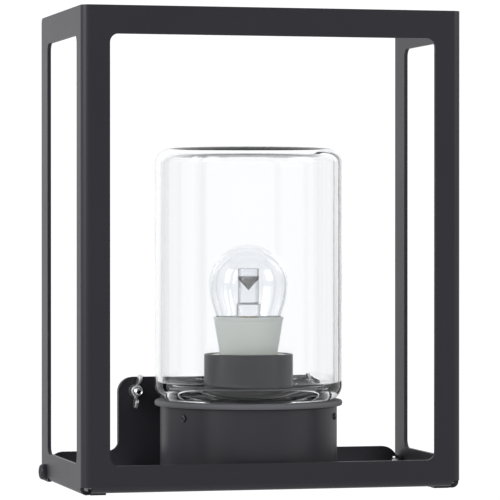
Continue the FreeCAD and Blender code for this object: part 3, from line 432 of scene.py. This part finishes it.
nut_zinc = zinc("cast_zinc", (0.72, 0.72, 0.73), 0.3)
for hand in ("left", "right"):
    cast("wing_nut_" + hand, "cast_wing_nut_" + hand, nut_zinc, "wing_" + hand,
         grain=0.2 * MM, passes=4)
    rounded_edges("lock_washer_" + hand, "pressed_lock_washer_" + hand, bright_zinc,
                  "washer_" + hand, radius=0.15 * MM)


# ---- Frame screws and their nuts ----------------------------------------------------------------
# Each rear foot of the frame is held to the back plate's tab by one pan head screw and a nut. The
# heads are painted with the frame; the nuts are zinc plated.

rounded_edges("frame_screws", "frame_screw_pair", graphite, "lantern_body", radius=0.12 * MM)
rounded_edges("tab_nuts", "tab_nut_pair", bright_zinc, "lantern_body", radius=0.25 * MM)


# ---- Base pot and set screws --------------------------------------------------------------------
# The pot is drawn from steel sheet and painted satin graphite, smoother than the frame's coat. Two
# slotted set screws with plastic tips clamp the jar's neck through its rim.

def satin_paint(name, dark, light, gloss):
    paint = Finish(name, {"Base Color": dark, "Roughness": gloss, "Specular IOR Level": 0.4})
    cloud = paint.noise(35 * MM, 3.0)
    grain = paint.noise(1.1 * MM, 2.0)
    paint.set("Base Color", paint.blend(cloud, dark, light))
    paint.set("Roughness", cloud * 0.10 + grain * 0.05 + (gloss - 0.07))
    paint.bump(grain, 0.02 * MM, 0.4)
    return paint


SATIN_DARK = (0.019, 0.0185, 0.024)
SATIN_LIGHT = (0.026, 0.0255, 0.033)
satin = satin_paint("satin_graphite_paint", SATIN_DARK, SATIN_LIGHT, 0.36)
rounded_edges("base_pot", "base_pot_shell", satin, "lantern_body", radius=0.2 * MM)
tip_plastic = Finish("natural_polyamide", {
    "Base Color": (0.8, 0.79, 0.74), "Roughness": 0.5, "Subsurface Weight": 0.15,
    "Subsurface Scale": MM})
tip_plastic.bump(tip_plastic.noise(0.4 * MM), 0.02 * MM, 0.5)
black_zinc = zinc("black_zinc", (0.10, 0.10, 0.11), 0.35)
for hand in ("left", "right"):
    rounded_edges("set_screw_" + hand, "slotted_set_screw_" + hand, black_zinc, "clamp_" + hand,
                  radius=0.08 * MM)
    rounded_edges("set_tip_" + hand, "set_screw_tip_" + hand, tip_plastic, "tip_" + hand,
                  radius=0.15 * MM)


# ---- Carrier, standoffs, collar and their screws ------------------------------------------------
# Three hexagonal standoffs carry a round plate above the pot's floor. The lampholder stands on it
# inside a painted steel collar, the dark tube that shows through the jar.

rounded_edges("carrier_plate", "carrier_disc", satin, "lantern_body", radius=0.2 * MM)
zinc_nodes = ("standoffs", "shelf_screws", "carrier_screws", "holder_screws", "earth_stud",
              "earth_nut")
for node in zinc_nodes:
    rounded_edges(node, node + "_zinc", bright_zinc, "lantern_body", radius=0.12 * MM)
LAMP_AXIS_Y = -65 * MM
axis_foot = (0.0, LAMP_AXIS_Y, 0.0)
collar_low, collar_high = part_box("holder_collar")
COLLAR_R = 26.5 * MM
COLLAR_WALL = 2.0 * MM
COLLAR_FLANGE = 1.0 * MM
collar_corners = [
    (COLLAR_R - COLLAR_WALL, collar_low.z, 0),
    (collar_high.x, collar_low.z, 0),
    (collar_high.x, collar_low.z + COLLAR_FLANGE, 0.4 * MM),
    (COLLAR_R, collar_low.z + COLLAR_FLANGE, 0.6 * MM),
    (COLLAR_R, collar_high.z, 0.7 * MM),
    (COLLAR_R - COLLAR_WALL, collar_high.z, 0.7 * MM),
]
collar = turned("holder_collar_tube", collar_corners, axis_foot, steps=128)
wear(collar, satin, "holder_collar", "lantern_body")


# ---- Lampholder ---------------------------------------------------------------------------------
# A glazed porcelain body with a threaded sleeve of nickel-plated brass in its bore, and a springy
# centre contact at the bottom.

def porcelain():
    glaze = Finish("cream_porcelain", {
        "Base Color": (0.80, 0.77, 0.69), "Roughness": 0.18,
        "Coat Weight": 0.6, "Coat Roughness": 0.06, "Subsurface Weight": 0.12,
        "Subsurface Radius": (1.0, 0.8, 0.6), "Subsurface Scale": 2 * MM})
    cloud = glaze.noise(14 * MM, 3.0)
    pin_hole = glaze.clamp_range(glaze.noise(1.4 * MM, 0.0), 0.80, 0.85)
    tone = glaze.blend(cloud, (0.76, 0.73, 0.64), (0.83, 0.80, 0.73))
    glaze.set("Base Color", glaze.blend(pin_hole * 0.6, tone, (0.35, 0.30, 0.22)))
    glaze.bump(cloud + 0.2 * glaze.noise(3 * MM), 0.12 * MM, 0.4)
    return glaze


holder_low, holder_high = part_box("lampholder_body")
HOLDER_MOUTH_R = 19.5 * MM
HOLDER_BORE_R = 14.7 * MM
HOLDER_MOUTH_DEPTH = 9.0 * MM
HOLDER_FLOOR = 11.3 * MM
holder_corners = [
    (0, holder_low.z, 0),
    (holder_high.x, holder_low.z, 1.0 * MM),
    (holder_high.x, holder_high.z, 2.0 * MM),
    (HOLDER_MOUTH_R, holder_high.z, 0.8 * MM),
    (HOLDER_MOUTH_R, holder_high.z - HOLDER_MOUTH_DEPTH, 1.0 * MM),
    (HOLDER_BORE_R, holder_high.z - HOLDER_MOUTH_DEPTH, 0.5 * MM),
    (HOLDER_BORE_R, holder_low.z + HOLDER_FLOOR, 0.6 * MM),
    (0, holder_low.z + HOLDER_FLOOR, 0),
]
holder = turned("porcelain_lampholder", holder_corners, axis_foot, closed=False, steps=128)
wear(holder, porcelain(), "lampholder_body", "lantern_body")
nickel = zinc("nickel_plated_brass", (0.74, 0.70, 0.60), 0.22)
E27_PITCH = 3.62 * MM


def knuckle(crest, root, points=10):
    """One pitch of the round E27 thread, a wave between its root and its crest radius."""
    middle = (crest + root) / 2
    wave = (crest - root) / 2
    turns = [step / points for step in range(points + 1)]
    return [(middle - wave * math.cos(math.tau * turn), E27_PITCH * turn) for turn in turns]


def threaded_sleeve(name, crest, root, wall, low, high):
    """A thin sleeve rolled to the E27 thread; its wall goes inward."""
    sleeve = threaded(name, knuckle(crest, root), E27_PITCH, low + wall, high - wall, axis_foot,
                      (0, 0, 1), steps=64, capped=False)
    apply_modifier(sleeve, "SOLIDIFY", thickness=wall, offset=-1.0)
    return sleeve


shell_low, shell_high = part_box("lampholder_shell")
SHELL_THREAD_DEPTH = 0.5 * MM
SHELL_WALL = 0.4 * MM
shell = threaded_sleeve("threaded_shell", shell_high.x, shell_high.x - SHELL_THREAD_DEPTH,
                        SHELL_WALL, shell_low.z, shell_high.z)
wear(shell, nickel, "lampholder_shell", "lantern_body")
rounded_edges("lampholder_spring", "centre_contact_spring", nickel, "lantern_body", radius=0.1 * MM)


# ---- Supply terminal, wires and earth -----------------------------------------------------------
# Inside the pot, a moulded terminal block takes the supply cable. Brown and blue wires run up to
# the lampholder, and a green and yellow one ends in a ring terminal on the earth stud.

ivory = Finish("ivory_plastic", {"Base Color": (0.72, 0.70, 0.62), "Roughness": 0.42})
ivory.set("Base Color", ivory.blend(ivory.noise(6 * MM), (0.69, 0.67, 0.59), (0.75, 0.73, 0.66)))
ivory.bump(ivory.noise(0.5 * MM), 0.03 * MM, 0.4)
rounded_edges("terminal_block", "terminal_block_body", ivory, "lantern_body", radius=0.25 * MM)
rounded_edges("terminal_screws", "terminal_clamp_screws", bright_zinc, "lantern_body",
              radius=0.08 * MM)


def insulation(name, colour):
    sleeve = Finish(name, {"Base Color": colour, "Roughness": 0.35})
    deep = tuple(0.8 * channel for channel in colour)
    sleeve.set("Base Color", sleeve.blend(sleeve.noise(4 * MM), deep, colour))
    sleeve.bump(sleeve.noise(0.6 * MM), 0.02 * MM, 0.4)
    return sleeve


earth_cover = insulation("green_yellow_insulation", (0.10, 0.36, 0.05))
STRIPE_EDGE = 0.2 * MM
stripe = earth_cover.axis("X") > STRIPE_EDGE
earth_cover.set("Base Color", earth_cover.blend(stripe, (0.07, 0.30, 0.04), (0.80, 0.66, 0.03)))
wire_covers = {
    "live_wire": insulation("brown_insulation", (0.17, 0.07, 0.03)),
    "neutral_wire": insulation("blue_insulation", (0.03, 0.12, 0.45)),
    "earth_wire": earth_cover,
}
for node, cover in wire_covers.items():
    rounded_edges(node, node + "_insulated", cover, "lantern_body", radius=0.1 * MM, smooth=40.0)
rounded_edges("earth_tag", "earth_ring_terminal", nickel, "lantern_body", radius=0.1 * MM)


# ---- Cable bush, gasket and glass jar -----------------------------------------------------------
# The bush and the gasket are moulded rubber. The jar is clear pressed glass with a rounded top and
# a narrower neck that stands in the pot; its shoulder rests on the gasket.

def rubber():
    band = Finish("moulded_rubber", {"Base Color": (0.10, 0.10, 0.11), "Roughness": 0.6})
    cloud = band.noise(12 * MM, 3.0)
    band.set("Base Color", band.blend(cloud, (0.085, 0.085, 0.094), (0.115, 0.115, 0.126)))
    band.set("Roughness", 0.6 + 0.2 * band.noise(2 * MM))
    band.bump(band.noise(0.5 * MM, 3.0), 0.04 * MM, 0.6)
    return band


soft_rubber = rubber()
rounded_edges("cable_bush", "cable_bush_moulding", soft_rubber, "lantern_body", radius=0.3 * MM)
gasket_low, gasket_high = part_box("glass_gasket")
NECK_R = 46.55 * MM
GASKET_BORE_R = NECK_R + 0.3 * MM
GASKET_BULGE = 0.5 * MM
gasket_corners = [
    (GASKET_BORE_R, gasket_low.z, 0),
    (gasket_high.x - GASKET_BULGE, gasket_low.z, 0.9 * MM),
    (gasket_high.x, (gasket_low.z + gasket_high.z) / 2, 1.8 * MM),
    (gasket_high.x - GASKET_BULGE, gasket_high.z, 0.9 * MM),
    (GASKET_BORE_R, gasket_high.z, 0.4 * MM),
]
gasket = turned("rubber_gasket", gasket_corners, axis_foot, steps=160)
wear(gasket, soft_rubber, "glass_gasket", "lantern_body")


def clear_glass():
    glass = Finish("clear_pressed_glass", {
        "Base Color": (0.985, 0.99, 0.995), "Roughness": 0.0, "IOR": 1.5,
        "Transmission Weight": 1.0})
    glass.bump(glass.noise(28 * MM, 1.0) + 0.15 * glass.noise(9 * MM, 1.0), 0.25 * MM, 0.25)
    return glass


jar_low, jar_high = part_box("glass_jar")
JAR_WALL = 4.4 * MM
JAR_TOP = 4.6 * MM
JAR_FLOOR = 7.0 * MM
JAR_CROWN = 1.0 * MM
CROWN_R = 18.0 * MM
FLOOR_RISE = 2.0 * MM
NECK_WALL = 4.2 * MM
NECK_TOP = 2.8 * MM
NECK_INNER_R = NECK_R - NECK_WALL
jar_r = jar_high.x
jar_inner_r = jar_r - JAR_WALL
seat = gasket_high.z
jar_corners = [
    (0, jar_high.z, 0),
    (CROWN_R, jar_high.z, 60.0 * MM),
    (jar_r, jar_high.z - JAR_CROWN, 8.8 * MM),
    (jar_r, seat, 8.5 * MM),
    (NECK_R, seat, 0.3 * MM),
    (NECK_R, jar_low.z, 1.2 * MM),
    (NECK_INNER_R, jar_low.z, 1.2 * MM),
    (NECK_INNER_R, seat + NECK_TOP, 3.0 * MM),
    (jar_inner_r, seat + JAR_FLOOR + FLOOR_RISE, 4.5 * MM),
    (jar_inner_r, jar_high.z - JAR_TOP, 4.9 * MM),
    (0, jar_high.z - JAR_TOP, 0),
]
jar = turned("pressed_glass_jar", jar_corners, axis_foot, closed=False, steps=192, arc_steps=10,
             smooth=60.0)
apply_modifier(jar, "WEIGHTED_NORMAL", keep_sharp=True)
wear(jar, clear_glass(), "glass_jar", "glass")


# ---- Lamp ---------------------------------------------------------------------------------------
# A screw-in lamp with LED chips on a round board, a clear moulded light guide over them and a clear
# globe. Its cone is satin plastic, and its cap is rolled to the E27 thread.

def satin_plastic():
    moulding = Finish("grey_green_plastic", {
        "Base Color": (0.87, 0.92, 0.87), "Roughness": 0.42, "Subsurface Weight": 0.1,
        "Subsurface Radius": (1.0, 1.0, 0.9), "Subsurface Scale": 2 * MM})
    cloud = moulding.noise(20 * MM)
    moulding.set("Base Color", moulding.blend(cloud, (0.85, 0.905, 0.855), (0.89, 0.93, 0.89)))
    moulding.set("Roughness", 0.36 + 0.12 * moulding.noise(3 * MM))
    moulding.bump(moulding.noise(0.45 * MM), 0.015 * MM, 0.5)
    return moulding


cone_low, cone_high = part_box("lamp_cone")
board_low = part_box("lamp_board")[0]
globe_low, globe_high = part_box("lamp_globe")
CONE_FOOT_R = 15.8 * MM
CONE_WALL = 1.6 * MM
CONE_FLOOR = 2.0 * MM
CONE_FOOT_BORE_R = 11.5 * MM
RIM_HEIGHT = 0.9 * MM
RIM_WALL = 1.2 * MM
BOARD_SEAT_R = 15.5 * MM
BOARD_SEAT_DEPTH = 1.5 * MM
GROOVE = 0.25 * MM
GROOVE_BELOW_RIM = 2.6 * MM
cone_top_r = cone_high.x
cone_slope = (cone_top_r - CONE_FOOT_R) / (cone_high.z - cone_low.z)
groove_z = cone_high.z - GROOVE_BELOW_RIM
groove_r = CONE_FOOT_R + cone_slope * (groove_z - cone_low.z)
cone_corners = [
    (CONE_FOOT_BORE_R, cone_low.z, 0),
    (CONE_FOOT_R, cone_low.z, 0.8 * MM),
    (groove_r - cone_slope * GROOVE, groove_z - GROOVE, 0.08 * MM),
    (groove_r - GROOVE, groove_z, 0.05 * MM),
    (groove_r + cone_slope * GROOVE, groove_z + GROOVE, 0.08 * MM),
    (cone_top_r - 0.05 * MM, cone_high.z - RIM_HEIGHT, 0.2 * MM),
    (cone_top_r, cone_high.z, 0.35 * MM),
    (cone_top_r - RIM_WALL, cone_high.z, 0.3 * MM),
    (cone_top_r - CONE_WALL, board_low.z, 0),
    (BOARD_SEAT_R, board_low.z, 0),
    (BOARD_SEAT_R, board_low.z - BOARD_SEAT_DEPTH, 0.4 * MM),
    (CONE_FOOT_R - CONE_WALL, cone_low.z + CONE_FLOOR, 0.5 * MM),
    (CONE_FOOT_BORE_R, cone_low.z + CONE_FLOOR, 0),
]
cone = turned("lamp_housing_cone", cone_corners, axis_foot, steps=128)
wear(cone, satin_plastic(), "lamp_cone", "lamp")


def clear_plastic(name):
    plastic = Finish(name, {
        "Base Color": (0.97, 0.975, 0.985), "Roughness": 0.0, "IOR": 1.49,
        "Transmission Weight": 1.0})
    plastic.bump(plastic.noise(9 * MM, 1.0), 0.06 * MM, 0.2)
    return plastic


GLOBE_WALL = 1.0 * MM
GLOBE_NECK_R = 19.2 * MM
NECK_ABOVE_RIM = 0.2 * MM
SWELL_STEPS = 12
BALL_STEPS = 16
globe_r = globe_high.x
equator = globe_high.z - globe_r


def globe_side(inset):
    """The globe's line from its neck up to its crown, moved inward by inset."""
    points = [Vector((GLOBE_NECK_R - inset, globe_low.z))]
    swell_low = cone_high.z + NECK_ABOVE_RIM
    for step in range(SWELL_STEPS + 1):
        lift = step / SWELL_STEPS
        radius = GLOBE_NECK_R + (globe_r - GLOBE_NECK_R) * math.sin(lift * math.pi / 2)
        points.append(Vector((radius - inset, swell_low + lift * (equator - swell_low))))
    for step in range(1, BALL_STEPS + 1):
        turn = step / BALL_STEPS * math.pi / 2
        ball = globe_r - inset
        points.append(Vector((ball * math.cos(turn), equator + ball * math.sin(turn))))
    return points


globe_points = globe_side(0.0) + globe_side(GLOBE_WALL)[::-1]
globe = draw("clear_globe", globe_points + globe_points[:1])
bpy.ops.mesh.spin(steps=128, angle=math.tau, center=(0, 0, 0), axis=(0, 0, 1))
settle(globe, axis_foot, (0, 0, 1), 60.0)
wear(globe, clear_plastic("clear_globe_plastic"), "lamp_globe", "lamp_travel")

guide_low, guide_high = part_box("lamp_light_guide")
GUIDE_R = 6.3 * MM
GUIDE_CUP_R = 5.4 * MM
GUIDE_FOOT_ABOVE_RIM = 7.4 * MM
GUIDE_TAPER = 1.0 * MM
GUIDE_CUP_DEPTH = 4.7 * MM
GUIDE_POINT_DEPTH = 8.4 * MM
guide_step = cone_high.z + GUIDE_FOOT_ABOVE_RIM
cup_floor = guide_high.z - GUIDE_CUP_DEPTH
guide_corners = [
    (0, guide_low.z, 0),
    (guide_high.x, guide_low.z, 0),
    (guide_high.x, guide_step, 0.4 * MM),
    (GUIDE_R, guide_step + GUIDE_TAPER, 0.4 * MM),
    (GUIDE_R, guide_high.z, 0.4 * MM),
    (GUIDE_CUP_R, guide_high.z, 0.4 * MM),
    (GUIDE_CUP_R, cup_floor, 0.3 * MM),
    (0, cup_floor - GUIDE_POINT_DEPTH, 0),
]
guide = turned("clear_light_guide", guide_corners, axis_foot, closed=False, steps=96, smooth=30.0)
wear(guide, clear_plastic("clear_guide_plastic"), "lamp_light_guide", "lamp")


MASK_LIGHT_R = 9.5 * MM
MASK_DARK_R = 10.5 * MM


def board_mask():
    mask = Finish("white_board_mask", {"Base Color": (0.75, 0.75, 0.73), "Roughness": 0.3})
    across = mask.axis("X")
    along = mask.axis("Y", LAMP_AXIS_Y)
    square = across * across + along * along
    distance = mask.add("ShaderNodeMath", {"operation": "SQRT"}, {0: square})
    rim = mask.clamp_range(distance, MASK_LIGHT_R, MASK_DARK_R)
    mask.set("Base Color", mask.blend(rim, (0.78, 0.78, 0.76), (0.30, 0.31, 0.32)))
    mask.bump(mask.noise(MM), 0.02 * MM, 0.4)
    return mask


rounded_edges("lamp_board", "led_board", board_mask(), "lamp", radius=0.1 * MM)
phosphor = Finish("phosphor", {"Base Color": (0.78, 0.62, 0.12), "Roughness": 0.5})
speckle = phosphor.noise(0.8 * MM)
phosphor.set("Base Color", phosphor.blend(speckle, (0.70, 0.54, 0.10), (0.85, 0.70, 0.16)))
rounded_edges("lamp_leds", "led_chips", phosphor, "lamp", radius=0.12 * MM)
green_board = Finish("green_driver_board", {"Base Color": (0.02, 0.16, 0.06), "Roughness": 0.35})
track = green_board.add("ShaderNodeTexBrick", None, {
    "Vector": green_board.place, "Scale": 400.0,
    "Color1": (0.02, 0.15, 0.06), "Color2": (0.03, 0.19, 0.08),
    "Mortar": (0.45, 0.36, 0.12), "Mortar Size": 0.03}, output="Color")
green_board.set("Base Color", track)
rounded_edges("lamp_driver", "driver_board", green_board, "lamp", radius=0.15 * MM)
cap_low, cap_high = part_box("lamp_cap")
CAP_THREAD_DEPTH = 0.9 * MM
CAP_WALL = 0.3 * MM
cap = threaded_sleeve("rolled_cap", cap_high.x, cap_high.x - CAP_THREAD_DEPTH, CAP_WALL,
                      cap_low.z, cap_high.z)
wear(cap, nickel, "lamp_cap", "lamp")
black_glass = Finish("black_insulator", {
    "Base Color": (0.012, 0.012, 0.013), "Roughness": 0.2})
black_glass.bump(black_glass.noise(2 * MM), 0.05 * MM, 0.4)
rounded_edges("lamp_insulator", "cap_insulator", black_glass, "lamp", radius=0.2 * MM)
rounded_edges("lamp_contact", "centre_contact_button", nickel, "lamp", radius=0.2 * MM)
